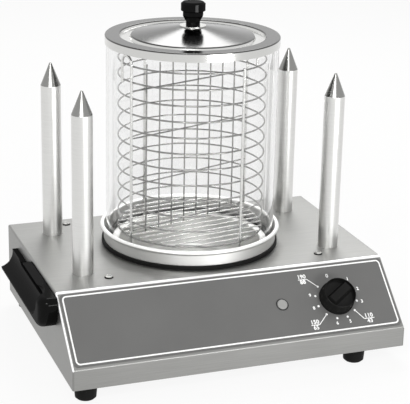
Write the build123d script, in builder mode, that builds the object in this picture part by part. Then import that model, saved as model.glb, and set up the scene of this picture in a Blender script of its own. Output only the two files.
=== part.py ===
from build123d import *
import os
from math import atan2, cos, degrees, hypot, radians, sin, sqrt

os.makedirs("parts", exist_ok=True)

# Folded steel body. X runs along the front, Y to the back and Z up from the table.
body_w = 390.0
body_d = 300.0
body_h = 85.0
apron_h = 23.5
slope_run = 69.0
sheet_t = 1.2
fold_r = 2.0
return_w = 12.0
return_fit = 0.3
foot_stand = 18.0

# Clearances used between pieces
screw_clear = 0.2
thread_clear = 0.05
spindle_clear = 0.05
seat_gap = 0.3
weld_gap = 0.1
screw_slot_w = 0.9

# Base plate and feet
base_fit = 0.5
vent_l = 46.0
vent_w = 4.0
vent_pitch = 12.0
vent_rows = 7
base_screw_r = 1.5
base_screw_l = 5.0
base_screw_head = (2.8, 1.8)
foot_top_r = 13.0
foot_bottom_r = 11.5
foot_chamfer = 2.0
foot_left_inset = 19.0
foot_right_inset = 54.0
foot_inset = 18.5
foot_screw_r = 2.5
foot_screw_head = (5.0, 3.2)
foot_sink = 7.0
foot_sink_r = 6.0
foot_nut_af = 8.0
foot_nut_h = 4.0

# Warming well, with the collar that holds the glass
well_back = 188.0
well_r = 84.0
well_depth = 40.0
well_corner_r = 6.0
well_hole_r = 88.0
pan_t = 1.0
collar_r = 102.0
collar_h = 20.0
bead_r = 2.6
gasket_r = 100.5
gasket_in_r = 91.0
gasket_t = 3.0
seat_ring_t = 3.0
seat_ring_w = 7.5

# Glass cylinder and lid
glass_r = 99.0
glass_t = 3.0
glass_h = 240.0
glass_rim_chamfer = 0.6
lid_t = 0.9
lid_fit = 0.5
lid_skirt = 10.0
lid_flange_w = 16.0
lid_recess = 3.5
lid_disc_r = 70.0
lid_disc_rise = 9.5
knob_washer_r = 15.0
knob_washer_t = 1.2
lid_knob_r = 14.0
lid_knob_h = 27.0
lid_knob_cap_h = 11.0
lid_knob_body_r = 12.3
lid_knob_neck_r = 8.0
lid_knob_neck_h = 3.2
lid_knob_flare_h = 11.3
lid_knob_lip = 1.0
lid_knob_sides = 8
lid_knob_dome = (2.5, 2.0)
lid_screw_r = 2.5
lid_screw_head = (5.0, 3.0)
lid_screw_bite = 13.5
lid_knob_hole = 16.0

# Wire basket
ring_r = 85.0
ring_wire_r = 1.0
ring_sides = 6
ring_count = 12
ring_pitch = 18.3
basket_leg = 17.0
upright_wire_r = 1.6
upright_turn = 21.0
ear_turn = 12.7
ear_rise = 11.0
ear_leg = 3.0
divider_wire_r = 0.9
divider_pitch = 19.0
divider_wires = 8
divider_bar_rings = 3
floor_wire_r = 0.9
floor_pitch = 13.0
floor_turn = 10.0
wire_sides = 6

# Heated bun spikes
spike_inset = 45.0
spike_dy = 68.0
spike_r = 11.75
spike_h = 209.0
spike_cone_h = 26.5
spike_tip_r = 1.2
spike_stud_r = 7.0
spike_stud_l = 16.0
cartridge_r = 5.0
cartridge_l = 150.0
cartridge_fit = 0.1
spike_nut_af = 21.0
spike_nut_h = 6.0
spike_washer_r = 12.0
spike_washer_t = 1.5

# Control panel, dial and lamp, placed from the panel's centre
panel_edge = 3.2
panel_t = 0.8
panel_corner_r = 4.0
dial_inset = 72.5
dial_up = -1.5
dial_r = 20.5
dial_h = 15.0
dial_skirt_h = 3.5
dial_skirt_step = 0.6
dial_edge_r = 1.0
dial_cap_r = 18.5
dial_bar_w = 14.0
dial_bar_l = 33.0
dial_bar_h = 5.0
dial_bar_proud = 1.2
dial_bar_taper = 22.0
dial_turn_at_rest = -57.0
dial_rim_w = 0.7
dial_wall = 2.0
dial_boss_r = 5.5
dial_taper = 6.0
dial_gap = 0.6
spindle_r = 3.0
spindle_flat = 1.5
spindle_l = 9.0
spindle_inside = 8.0
bush_r = 5.0
bush_out = 3.6
bush_nut_af = 14.0
bush_nut_h = 2.4
thermostat_w = 38.0
thermostat_d = 18.0
thermostat_corner_r = 3.0
terminal_pitch = 9.0
terminal_w = 6.3
terminal_t = 0.8
terminal_l = 7.0
lamp_from_dial = 66.1
lamp_up = -0.8
lamp_r = 6.0
lamp_rise = 1.6
lamp_body_r = 4.5
lamp_body_l = 26.0

# Side handle, in the plane of the side: along Y from the body's middle, and up from its bottom edge
handle_front = -92.0
handle_back = 100.0
handle_low = 43.0
handle_high = 82.0
handle_step_y = 26.0
handle_step_run = 28.0
handle_step = 10.0
handle_out = 20.0
handle_edge_r = 8.0
handle_nose_low_r = 27.0
handle_nose_high_r = 11.0
handle_nose_plan_r = 16.0
groove_r = 18.5
groove_up = 69.0
groove_out = 24.5
groove_front = -44.0
handle_screw_ys = (-62.0, 78.0)
handle_screw_up = 54.0
handle_screw_r = 2.0
handle_screw_l = 6.0
handle_screw_head = (4.0, 2.6)

# Heating parts under the well
element_r = 60.0
element_t = 8.0
element_chamfer = 1.5
clamp_l = 132.0
clamp_w = 28.0
clamp_t = 2.0
clamp_stud_r = 3.0
clamp_stud_l = 18.0
clamp_nut_af = 10.0
clamp_nut_h = 5.0
element_tab_pitch = 30.0
element_tab_forward = 30.0
element_tab_l = 8.0
cutout_back = 69.0
cutout_r = 8.0
cutout_h = 9.0
bulb_r = 3.0
bulb_l = 44.0
bulb_forward = 66.0
capillary_r = 1.0
capillary_bend_r = 6.0
capillary_beside = 19.5
shield_edge = 9.0
shield_half_l = 104.0
shield_drop = 64.0
shield_t = 1.0
shield_flange = 24.0
deck_screw_inset = 68.0
deck_screw_dy = 92.0
deck_screw_r = 2.0
deck_screw_head = (4.0, 2.4)
deck_nut_af = 7.0
deck_nut_h = 3.2

# Cord gland and terminal block
gland_inset = 45.0
gland_up = 38.0
gland_out = 13.0
gland_head_r = 11.0
gland_hex_l = 5.0
gland_taper = 12.0
gland_thread_r = 8.0
gland_bore_r = 3.6
gland_inside = 12.0
gland_nut_af = 22.0
gland_nut_h = 4.0
block_forward = 40.0
block_w = 36.0
block_d = 20.0
block_h = 15.0
block_poles = 3
block_screw_r = 2.2
block_wire_r = 2.0
block_wire_up = 6.0
block_wire_l = 6.0

# Planes and levels worked out from the sizes above
front_y = -(body_d + gland_out) / 2
rear_y = front_y + body_d
middle_y = front_y + body_d / 2
box_shift = handle_out / 2
base_z = foot_stand
deck_z = base_z + body_h
well_y = front_y + well_back
foot_left_x = -body_w / 2 + foot_left_inset
foot_right_x = body_w / 2 - foot_right_inset
spike_x = body_w / 2 - spike_inset
deck_screw_x = body_w / 2 - deck_screw_inset
shield_half_w = deck_screw_x + shield_edge - shield_flange
dial_x = body_w / 2 - dial_inset
lamp_x = dial_x - lamp_from_dial
gland_x = -body_w / 2 + gland_inset
slope_rise = body_h - apron_h
slope_len = hypot(slope_run, slope_rise)
panel_plane = Plane(
    origin=(0, front_y + slope_run / 2, base_z + apron_h + slope_rise / 2),
    x_dir=(1, 0, 0),
    z_dir=(0, -slope_rise, slope_run),
)
well_axis = (0, well_y)
under_deck_z = deck_z - sheet_t
inner_w = body_w - 2 * sheet_t
inner_d = body_d - 2 * sheet_t
plate_top_z = base_z + sheet_t
return_z = plate_top_z + return_fit


def save(part, label):
    """Moves a finished piece to centre the machine's box over its frame, labels it and writes its STEP file."""
    placed = part.moved(Location((box_shift, 0, 0)))
    placed.label = label
    export_step(placed, f"parts/{label}.step")


def pan_screw(shank_r, shank_l, head):
    """Pan head screw: head of (radius, height) on +Z from the origin, shank going down."""
    head_r, head_h = head
    with BuildPart() as screw:
        Cylinder(head_r, head_h, align=(Align.CENTER, Align.CENTER, Align.MIN))
        chamfer(screw.edges().sort_by(Axis.Z)[-1], head_h * 0.4)
        Cylinder(shank_r, shank_l, align=(Align.CENTER, Align.CENTER, Align.MAX))
        with Locations((0, 0, head_h)):
            Box(2 * head_r, screw_slot_w, head_h * 0.8, mode=Mode.SUBTRACT)
    return screw.part


def hex_nut(across_flats, height, hole_r):
    """Hexagon nut standing on the origin."""
    with BuildPart() as nut:
        with BuildSketch():
            RegularPolygon(across_flats / 2, 6, major_radius=False)
            Circle(hole_r, mode=Mode.SUBTRACT)
        extrude(amount=height)
    return nut.part


def deck_spots(x, dy):
    """Four places round the well, one at each side of both axes."""
    return [(sx * x, well_y + sy * dy) for sx in (-1, 1) for sy in (-1, 1)]


spike_spots = deck_spots(spike_x, spike_dy)
deck_screw_spots = deck_spots(deck_screw_x, deck_screw_dy)
spike_names = ["front_left", "rear_left", "front_right", "rear_right"]
foot_spots = [
    (foot_left_x, front_y + foot_inset),
    (foot_left_x, rear_y - foot_inset),
    (foot_right_x, front_y + foot_inset),
    (foot_right_x, rear_y - foot_inset),
]
base_screw_spots = [
    (x, y)
    for x in (-body_w / 4, 0, body_w / 4)
    for y in (front_y + sheet_t + return_w / 2, rear_y - sheet_t - return_w / 2)
]
handle_screw_spots = [(middle_y + y, base_z + handle_screw_up) for y in handle_screw_ys]

# Body shell: one folded sheet, open below, with returns for the base plate
with BuildPart() as body_shell:
    with BuildSketch(Plane.YZ):
        with BuildLine():
            Polyline(
                (front_y, base_z),
                (front_y, base_z + apron_h),
                (front_y + slope_run, deck_z),
                (rear_y, deck_z),
                (rear_y, base_z),
                close=True,
            )
        make_face()
    extrude(amount=body_w / 2, both=True)
    folds = body_shell.edges().filter_by(lambda e: e.bounding_box().max.Z > base_z + 1)
    fillet(folds, fold_r)
    offset(amount=-sheet_t, openings=body_shell.faces().sort_by(Axis.Z)[0])
    with BuildSketch(Plane.XY.offset(return_z)):
        with Locations((0, middle_y)):
            Rectangle(inner_w, inner_d)
            Rectangle(inner_w - 2 * return_w, inner_d - 2 * return_w, mode=Mode.SUBTRACT)
    extrude(amount=sheet_t)
    with BuildSketch(Plane.XY.offset(return_z)):
        with Locations(*base_screw_spots):
            Circle(base_screw_r + thread_clear)
    extrude(amount=sheet_t, mode=Mode.SUBTRACT)
    with BuildSketch(Plane.XY.offset(deck_z)):
        with Locations(well_axis):
            Circle(well_hole_r)
        with Locations(*spike_spots):
            Circle(spike_stud_r + screw_clear)
        with Locations(*deck_screw_spots):
            Circle(deck_screw_r + screw_clear)
    extrude(amount=-2 * sheet_t, mode=Mode.SUBTRACT)
    with BuildSketch(panel_plane):
        with Locations((dial_x, dial_up)):
            Circle(bush_r + screw_clear)
        with Locations((lamp_x, lamp_up)):
            Circle(lamp_body_r + screw_clear)
    extrude(amount=-2 * sheet_t, mode=Mode.SUBTRACT)
    with BuildSketch(Plane.YZ):
        with Locations(*handle_screw_spots):
            Circle(handle_screw_r + screw_clear)
    extrude(amount=-body_w / 2, mode=Mode.SUBTRACT)
    with BuildSketch(Plane.XZ.offset(-rear_y)):
        with Locations((gland_x, base_z + gland_up)):
            Circle(gland_thread_r + screw_clear)
    extrude(amount=2 * sheet_t, mode=Mode.SUBTRACT)
save(body_shell.part, "body_shell")

# Base plate with vent slots, screwed up into the returns
with BuildPart() as base_plate:
    with BuildSketch(Plane.XY.offset(base_z)):
        with Locations((0, middle_y)):
            Rectangle(inner_w - 2 * base_fit, inner_d - 2 * base_fit)
        with Locations((0, well_y)):
            with GridLocations(2 * vent_l, vent_pitch, 2, vent_rows):
                SlotOverall(vent_l, vent_w, mode=Mode.SUBTRACT)
        with Locations(*foot_spots):
            Circle(foot_screw_r + screw_clear, mode=Mode.SUBTRACT)
        with Locations(*base_screw_spots):
            Circle(base_screw_r + screw_clear, mode=Mode.SUBTRACT)
    extrude(amount=sheet_t)
save(base_plate.part, "base_plate")

with BuildPart() as base_screws:
    with Locations(*[Location((x, y, base_z), (180, 0, 0)) for x, y in base_screw_spots]):
        add(pan_screw(base_screw_r, base_screw_l, base_screw_head))
save(base_screws.part, "base_screws")

# Rubber feet, each with its screw head sunk in from below
for (foot_x, foot_y), place in zip(foot_spots, spike_names):
    with BuildPart() as foot:
        with Locations((foot_x, foot_y, 0)):
            Cone(foot_bottom_r, foot_top_r, foot_stand, align=(Align.CENTER, Align.CENTER, Align.MIN))
        chamfer(foot.edges().group_by(Axis.Z)[0], foot_chamfer)
        with Locations(Location((foot_x, foot_y, 0), (180, 0, 0))):
            CounterBoreHole(foot_screw_r + screw_clear, foot_sink_r, foot_sink, foot_stand)
    save(foot.part, f"foot_{place}")

with BuildPart() as foot_screws:
    with Locations(*[Location((x, y, foot_sink), (180, 0, 0)) for x, y in foot_spots]):
        add(pan_screw(foot_screw_r, foot_stand - foot_sink + sheet_t + foot_nut_h, foot_screw_head))
save(foot_screws.part, "foot_screws")

with BuildPart() as foot_nuts:
    with Locations(*[(x, y, plate_top_z) for x, y in foot_spots]):
        add(hex_nut(foot_nut_af, foot_nut_h, foot_screw_r + thread_clear))
save(foot_nuts.part, "foot_nuts")

# Well: a pressed pan whose collar ends in a rolled bead, sealed on the deck by a flat gasket
with BuildPart() as well_gasket:
    with BuildSketch(Plane.XY.offset(deck_z)):
        with Locations(well_axis):
            Circle(gasket_r)
            Circle(gasket_in_r, mode=Mode.SUBTRACT)
    extrude(amount=gasket_t)
save(well_gasket.part, "well_gasket")

pan_seat_z = deck_z + gasket_t
ledge_z = pan_seat_z + pan_t
well_floor_z = deck_z - well_depth
well_plane = Plane(origin=(0, well_y, 0), x_dir=(1, 0, 0), z_dir=(0, -1, 0))
well_line = Axis((0, well_y, 0), (0, 0, 1))
bead_z = deck_z + collar_h
bead_in_r = collar_r - pan_t + bead_r
with BuildPart() as water_pan:
    with BuildSketch(well_plane):
        with BuildLine():
            pan_line = FilletPolyline(
                (0, well_floor_z - pan_t / 2),
                (well_r - pan_t / 2, well_floor_z - pan_t / 2),
                (well_r - pan_t / 2, ledge_z - pan_t / 2),
                (collar_r - pan_t / 2, ledge_z - pan_t / 2),
                (collar_r - pan_t / 2, bead_z),
                radius=(well_corner_r, pan_t, pan_t),
            )
        trace(pan_line, line_width=pan_t)
        with Locations((bead_in_r, bead_z)):
            Circle(bead_r)
        split(bisect_by=Plane(origin=(0, well_y, 0), z_dir=(1, 0, 0)))
    revolve(axis=well_line)
    with Locations((0, well_y, well_floor_z - pan_t)):
        Cylinder(clamp_stud_r, clamp_stud_l, align=(Align.CENTER, Align.CENTER, Align.MAX))
save(water_pan.part, "water_pan")

with BuildPart() as glass_seat:
    with BuildSketch(Plane.XY.offset(ledge_z)):
        with Locations(well_axis):
            Circle(glass_r + seat_gap)
            Circle(glass_r + seat_gap - seat_ring_w, mode=Mode.SUBTRACT)
    extrude(amount=seat_ring_t)
save(glass_seat.part, "glass_seat")

# Glass cylinder, open at both ends, with its rims ground
glass_z = ledge_z + seat_ring_t
glass_top_z = glass_z + glass_h
with BuildPart() as glass_cylinder:
    with BuildSketch(Plane.XY.offset(glass_z)):
        with Locations(well_axis):
            Circle(glass_r)
            Circle(glass_r - glass_t, mode=Mode.SUBTRACT)
    extrude(amount=glass_h)
    chamfer(glass_cylinder.edges(), glass_rim_chamfer)
save(glass_cylinder.part, "glass_cylinder")

# Spun lid: skirt round the glass, flat flange, recessed ring and a shallow cone up to the knob
lid_z = glass_top_z + seat_gap
lid_r = glass_r + lid_fit + lid_t
lid_mid_z = lid_z + lid_t / 2
lid_recess_r = lid_r - lid_flange_w
with BuildPart() as lid:
    with BuildSketch(well_plane):
        with BuildLine():
            lid_line = FilletPolyline(
                (lid_r - lid_t / 2, lid_z + lid_t - lid_skirt),
                (lid_r - lid_t / 2, lid_mid_z),
                (lid_recess_r, lid_mid_z),
                (lid_recess_r - lid_recess / 2, lid_mid_z - lid_recess),
                (lid_disc_r + lid_recess / 2, lid_mid_z - lid_recess),
                (lid_disc_r, lid_mid_z),
                (knob_washer_r, lid_mid_z + lid_disc_rise),
                (0, lid_mid_z + lid_disc_rise),
                radius=lid_t * 0.8,
            )
        trace(lid_line, line_width=lid_t)
        split(bisect_by=Plane(origin=(0, well_y, 0), z_dir=(1, 0, 0)))
    revolve(axis=well_line)
    with Locations((0, well_y, lid_z)):
        Cylinder(lid_screw_r + screw_clear, 3 * lid_disc_rise, mode=Mode.SUBTRACT)
save(lid.part, "lid")

knob_washer_z = lid_mid_z + lid_disc_rise + lid_t / 2
with BuildPart() as knob_washer:
    with BuildSketch(Plane.XY.offset(knob_washer_z)):
        with Locations(well_axis):
            Circle(knob_washer_r)
            Circle(lid_screw_r + screw_clear, mode=Mode.SUBTRACT)
    extrude(amount=knob_washer_t)
    chamfer(knob_washer.edges().sort_by(Axis.Z)[-1], knob_washer_t * 0.4)
save(knob_washer.part, "knob_washer")

# Moulded lid knob: domed cap over a body of flats that narrows to a neck
knob_z = knob_washer_z + knob_washer_t
knob_top_z = knob_z + lid_knob_h
cap_z = knob_top_z - lid_knob_cap_h
with BuildPart() as lid_knob:
    with BuildSketch(well_plane):
        with BuildLine():
            Polyline(
                (0, knob_z),
                (lid_knob_neck_r, knob_z),
                (lid_knob_neck_r, cap_z),
                (lid_knob_body_r, cap_z),
                (lid_knob_r, cap_z + lid_knob_lip),
                (lid_knob_r, knob_top_z - lid_knob_dome[1]),
                (lid_knob_r - lid_knob_dome[0], knob_top_z),
                (0, knob_top_z),
                close=True,
            )
        make_face()
    revolve(axis=well_line)
    flare_z = knob_z + lid_knob_flare_h
    with BuildSketch(Plane.XY.offset(flare_z)) as flats:
        with Locations(well_axis):
            RegularPolygon(lid_knob_body_r, lid_knob_sides)
    extrude(amount=cap_z - flare_z)
    flare_angle = degrees(atan2(lid_knob_body_r - lid_knob_neck_r, lid_knob_flare_h - lid_knob_neck_h))
    extrude(flats.sketch, amount=-(lid_knob_flare_h - lid_knob_neck_h), taper=flare_angle)
    with Locations(Location((0, well_y, knob_z), (180, 0, 0))):
        Hole(lid_screw_r + thread_clear, lid_knob_hole)
save(lid_knob.part, "lid_knob")

with BuildPart() as knob_screw:
    with Locations(Location((0, well_y, lid_mid_z + lid_disc_rise - lid_t / 2), (180, 0, 0))):
        add(pan_screw(lid_screw_r, lid_t + knob_washer_t + lid_screw_bite, lid_screw_head))
save(knob_screw.part, "knob_screw")

# Wire basket: stacked rings, four uprights of which two end in lifting ears, a slatted floor and a divider
ring_low_z = ledge_z + basket_leg
ring_top_z = ring_low_z + (ring_count - 1) * ring_pitch
with BuildPart() as basket_rings:
    for level in range(ring_count):
        with BuildSketch(well_plane):
            with Locations((ring_r, ring_low_z + level * ring_pitch)):
                RegularPolygon(ring_wire_r, ring_sides)
        revolve(axis=well_line)
save(basket_rings.part, "basket_rings")

upright_r = ring_r + ring_wire_r + weld_gap + upright_wire_r
upright_top_z = ring_top_z + 2 * upright_wire_r
ear_top_z = ring_top_z + ear_rise
ear_r = upright_r * sin(radians(ear_turn / 2))
ear_end_z = ring_top_z - ring_pitch - ear_leg
with BuildPart() as basket_uprights:
    with Locations((0, well_y, ledge_z)):
        with PolarLocations(upright_r, 2, start_angle=upright_turn + 90):
            Cylinder(
                upright_wire_r,
                upright_top_z - ledge_z,
                align=(Align.CENTER, Align.CENTER, Align.MIN),
            )
    fillet(basket_uprights.edges().group_by(Axis.Z)[-1], upright_wire_r * 0.6)
    for side in (0, 180):
        turn = upright_turn - ear_turn / 2 + side
        chord = Plane(origin=(0, well_y, 0), x_dir=(1, 0, 0)).rotated((0, 0, turn))
        chord_x = upright_r * cos(radians(ear_turn / 2))
        points = [(ear_r, ledge_z), (ear_r, ear_top_z - ear_r), (-ear_r, ear_top_z - ear_r), (-ear_r, ear_end_z)]
        foot_at, bend_at, over_at, end_at = [chord.from_local_coords((chord_x, y, z)) for y, z in points]
        with BuildLine() as ear_path:
            Line(foot_at, bend_at)
            ThreePointArc(bend_at, chord.from_local_coords((chord_x, 0, ear_top_z)), over_at)
            Line(over_at, end_at)
        with BuildSketch(Plane(origin=foot_at, z_dir=(0, 0, 1))):
            Circle(upright_wire_r)
        sweep(path=ear_path.line)
save(basket_uprights.part, "basket_uprights")

floor_z = ring_low_z + ring_wire_r + weld_gap + floor_wire_r
floor_axis = Plane(origin=(0, well_y, floor_z), x_dir=(1, 0, 0)).rotated((0, 0, floor_turn))
floor_rows = int((ring_r - ring_wire_r) / floor_pitch)
with BuildPart() as basket_floor:
    for row in range(-floor_rows, floor_rows + 1):
        reach = sqrt(ring_r**2 - (row * floor_pitch) ** 2)
        with BuildSketch(Plane(floor_axis.location * Location((-reach, row * floor_pitch, 0), (0, 90, 0)))):
            RegularPolygon(floor_wire_r, wire_sides)
        extrude(amount=2 * reach)
save(basket_floor.part, "basket_floor")

# Divider: upright wires with cross bars welded to one face of them, from ring to ring
divider_low_z = floor_z + 2 * floor_wire_r + weld_gap
divider_high_z = ring_top_z
divider_plane = Plane(origin=(0, well_y, 0), x_dir=(1, 0, 0)).rotated((0, 0, upright_turn))
divider_bar_dy = 2 * divider_wire_r * 0.9
divider_reach = ring_r + ring_wire_r
divider_bars = (ring_count - 1) // divider_bar_rings + 1
with BuildPart() as basket_divider:
    with BuildSketch(divider_plane.offset(divider_low_z)):
        with GridLocations(divider_pitch, 1, divider_wires, 1):
            RegularPolygon(divider_wire_r, wire_sides)
    extrude(amount=divider_high_z - divider_low_z)
    for bar in range(divider_bars):
        bar_z = ring_low_z + (bar * divider_bar_rings + 0.5) * ring_pitch
        start = divider_plane.location * Location((-divider_reach, -divider_bar_dy, bar_z), (0, 90, 0))
        with BuildSketch(Plane(start)):
            RegularPolygon(divider_wire_r, wire_sides)
        extrude(amount=2 * divider_reach)
save(basket_divider.part, "basket_divider")

# Bun spikes: turned rods bored from below for a cartridge heater, with a threaded stud through the deck
spike_top_z = deck_z + spike_h
stud_z = deck_z - spike_stud_l
for (sx, sy), place in zip(spike_spots, spike_names):
    spike_side = Plane(origin=(sx, sy, 0), x_dir=(1, 0, 0), z_dir=(0, -1, 0))
    with BuildPart() as spike:
        with BuildSketch(spike_side):
            with BuildLine():
                Polyline(
                    (cartridge_r + cartridge_fit, stud_z),
                    (spike_stud_r, stud_z),
                    (spike_stud_r, deck_z),
                    (spike_r, deck_z),
                    (spike_r, spike_top_z - spike_cone_h),
                    (spike_tip_r, spike_top_z),
                    (0, spike_top_z),
                    (0, stud_z + cartridge_l + seat_gap),
                    (cartridge_r + cartridge_fit, stud_z + cartridge_l + seat_gap),
                    close=True,
                )
            make_face()
        revolve(axis=Axis((sx, sy, 0), (0, 0, 1)))
        fillet(spike.edges().group_by(Axis.Z)[-1], spike_tip_r * 0.8)
    save(spike.part, f"spike_{place}")

    with BuildPart() as cartridge:
        with Locations((sx, sy, stud_z)):
            Cylinder(cartridge_r, cartridge_l, align=(Align.CENTER, Align.CENTER, Align.MIN))
        chamfer(cartridge.edges().group_by(Axis.Z)[-1], cartridge_r * 0.15)
    save(cartridge.part, f"cartridge_heater_{place}")

with BuildPart() as spike_washers:
    with BuildSketch(Plane.XY.offset(under_deck_z)):
        with Locations(*spike_spots):
            Circle(spike_washer_r)
            Circle(spike_stud_r + screw_clear, mode=Mode.SUBTRACT)
    extrude(amount=-spike_washer_t)
save(spike_washers.part, "spike_washers")

with BuildPart() as spike_nuts:
    with Locations(*[(x, y, under_deck_z - spike_washer_t - spike_nut_h) for x, y in spike_spots]):
        add(hex_nut(spike_nut_af, spike_nut_h, spike_stud_r + thread_clear))
save(spike_nuts.part, "spike_nuts")

# Control panel plate on the slope
with BuildPart() as control_panel:
    with BuildSketch(panel_plane):
        RectangleRounded(body_w - 2 * panel_edge, slope_len - 2 * panel_edge, panel_corner_r)
        with Locations((dial_x, dial_up)):
            Circle(bush_r + screw_clear, mode=Mode.SUBTRACT)
        with Locations((lamp_x, lamp_up)):
            Circle(lamp_body_r + screw_clear, mode=Mode.SUBTRACT)
    extrude(amount=panel_t)
save(control_panel.part, "control_panel")

# Thermostat behind the panel, clamped by the nut on its bush
dial_plane = Plane(panel_plane.location * Location((dial_x, dial_up, 0)))
thermostat_z = -sheet_t
with BuildPart() as thermostat:
    with BuildSketch(dial_plane.offset(thermostat_z)):
        RectangleRounded(thermostat_w, thermostat_w, thermostat_corner_r)
    extrude(amount=-thermostat_d)
    with BuildSketch(dial_plane.offset(thermostat_z)):
        Circle(bush_r)
    extrude(amount=sheet_t + panel_t + bush_out)
    with BuildSketch(dial_plane.offset(panel_t + bush_out)):
        Circle(spindle_r + spindle_clear)
    extrude(amount=-(panel_t + bush_out + spindle_inside), mode=Mode.SUBTRACT)
    with BuildSketch(dial_plane.offset(thermostat_z - thermostat_d)):
        with GridLocations(terminal_pitch, 1, 3, 1):
            Rectangle(terminal_t, terminal_w)
    extrude(amount=-terminal_l)
save(thermostat.part, "thermostat")

with BuildPart() as thermostat_nut:
    with BuildSketch(dial_plane.offset(panel_t)):
        RegularPolygon(bush_nut_af / 2, 6, major_radius=False)
        Circle(bush_r + thread_clear, mode=Mode.SUBTRACT)
    extrude(amount=bush_nut_h)
save(thermostat_nut.part, "thermostat_nut")

with BuildPart() as dial_spindle:
    with BuildSketch(dial_plane.offset(panel_t + bush_out + spindle_l)):
        Circle(spindle_r)
    extrude(amount=-(panel_t + bush_out + spindle_l + spindle_inside - seat_gap))
    with BuildSketch(dial_plane.offset(panel_t + bush_out + spindle_l)):
        with Locations((0, spindle_r + spindle_flat / 2)):
            Rectangle(2 * spindle_r, 2 * spindle_flat + spindle_flat)
    extrude(amount=-spindle_l, mode=Mode.SUBTRACT)
save(dial_spindle.part, "dial_spindle")

# Dial knob: skirt and round cap, with a grip bar standing between two sunk flats
knob_plane = Plane(dial_plane.location * Location((0, 0, panel_t + dial_gap), (0, 0, dial_turn_at_rest)))
with BuildPart() as dial_knob:
    with BuildSketch(knob_plane):
        Circle(dial_r)
    extrude(amount=dial_skirt_h)
    with BuildSketch(knob_plane.offset(dial_skirt_h)):
        Circle(dial_r - dial_skirt_step)
    extrude(amount=dial_h - dial_skirt_h, taper=dial_taper)
    fillet(dial_knob.edges().group_by(Axis(knob_plane.origin, knob_plane.z_dir))[-1], dial_edge_r)
    with BuildSketch(knob_plane.offset(dial_h)):
        Circle(dial_cap_r - dial_rim_w)
    extrude(amount=-dial_bar_h, mode=Mode.SUBTRACT)
    with BuildSketch(knob_plane.offset(dial_h - dial_bar_h)):
        Rectangle(dial_bar_w, dial_bar_l)
    extrude(amount=dial_bar_h + dial_bar_proud, taper=dial_bar_taper)
    with BuildSketch(knob_plane):
        Circle(dial_r - dial_wall)
        Circle(dial_boss_r, mode=Mode.SUBTRACT)
    extrude(amount=dial_h - dial_bar_h - dial_wall, mode=Mode.SUBTRACT)
    with BuildSketch(knob_plane):
        Circle(bush_nut_af / 2 * 1.2)
    extrude(amount=bush_out - dial_gap + seat_gap, mode=Mode.SUBTRACT)
    with BuildSketch(knob_plane):
        Circle(spindle_r + thread_clear)
    extrude(amount=bush_out + spindle_l - dial_gap + seat_gap, mode=Mode.SUBTRACT)
save(dial_knob.part, "dial_knob")

# Pilot lamp: domed lens over a neon body pushed through the panel
lamp_plane = Plane(panel_plane.location * Location((lamp_x, lamp_up, panel_t)))
with BuildPart() as pilot_lens:
    with BuildSketch(lamp_plane):
        Circle(lamp_r)
    extrude(amount=lamp_rise)
    fillet(pilot_lens.edges().group_by(Axis(lamp_plane.origin, lamp_plane.z_dir))[-1], lamp_rise * 0.7)
save(pilot_lens.part, "pilot_lens")

with BuildPart() as pilot_lamp:
    with BuildSketch(lamp_plane):
        Circle(lamp_body_r)
    extrude(amount=-lamp_body_l)
save(pilot_lamp.part, "pilot_lamp")

# Side handle: a moulded block with a bullet nose, a stepped top and a thumb groove that curves up in front.
# It is drawn on the right of the body and mirrored to the left, the only side that has one.
handle_plane = Plane(origin=(body_w / 2, middle_y, base_z), x_dir=(0, 1, 0), z_dir=(1, 0, 0))
groove_y = middle_y + groove_front
groove_plane = Plane(origin=(body_w / 2, groove_y, base_z), x_dir=(1, 0, 0), z_dir=(0, -1, 0))
groove_turn = Axis((0, groove_y, base_z + handle_high), (-1, 0, 0))
with BuildPart() as handle_form:
    with BuildSketch(handle_plane) as handle_side:
        with BuildLine():
            Polyline(
                (handle_front, handle_low),
                (handle_back, handle_low),
                (handle_back, handle_high),
                (handle_front, handle_high),
                close=True,
            )
        make_face()
        nose = handle_side.vertices().group_by(Axis.X)[0].sort_by(Axis.Y)
        fillet(nose[0], handle_nose_low_r)
        fillet(nose[-1], handle_nose_high_r)
    extrude(amount=handle_out)
    with BuildSketch(Plane(origin=(body_w / 2, middle_y, base_z + handle_low))) as handle_plan:
        with BuildLine():
            Polyline(
                (handle_out, handle_front),
                (handle_out, handle_back),
                (0, handle_back),
                (0, handle_front - handle_edge_r / 2),
                close=True,
            )
        make_face()
        fillet(handle_plan.vertices().group_by(Axis.X)[-1].sort_by(Axis.Y)[0], handle_nose_plan_r)
    extrude(amount=handle_high - handle_low, mode=Mode.INTERSECT)
    rim = handle_form.edges().filter_by(lambda e: e.center().X > body_w / 2 + seat_gap)
    fillet(rim.filter_by(lambda e: e.center().Y < middle_y + handle_back - 1), handle_edge_r)
    with BuildSketch(handle_plane):
        with BuildLine():
            Polyline(
                (handle_back, handle_high - handle_step),
                (handle_step_y + handle_step_run, handle_high - handle_step),
                (handle_step_y, handle_high),
                (handle_back, handle_high),
                close=True,
            )
        make_face()
    extrude(amount=handle_out, mode=Mode.SUBTRACT)
    with BuildSketch(groove_plane):
        with Locations((groove_out, groove_up)):
            Circle(groove_r)
    extrude(amount=groove_front - handle_back, mode=Mode.SUBTRACT)
    with BuildSketch(groove_plane):
        with Locations((groove_out, groove_up)):
            Circle(groove_r)
        with Locations((groove_out, handle_high)):
            Rectangle(3 * groove_r, 2 * groove_r, align=(Align.CENTER, Align.MIN), mode=Mode.SUBTRACT)
    revolve(axis=groove_turn, revolution_arc=90, mode=Mode.SUBTRACT)
    with BuildSketch(handle_plane):
        with Locations(*[(y, handle_screw_up) for y in handle_screw_ys]):
            Circle(handle_screw_r + thread_clear)
    extrude(amount=handle_screw_l + seat_gap, mode=Mode.SUBTRACT)

with BuildPart() as handle_left:
    mirror(handle_form.part, about=Plane.YZ)
save(handle_left.part, "handle_left")

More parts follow.
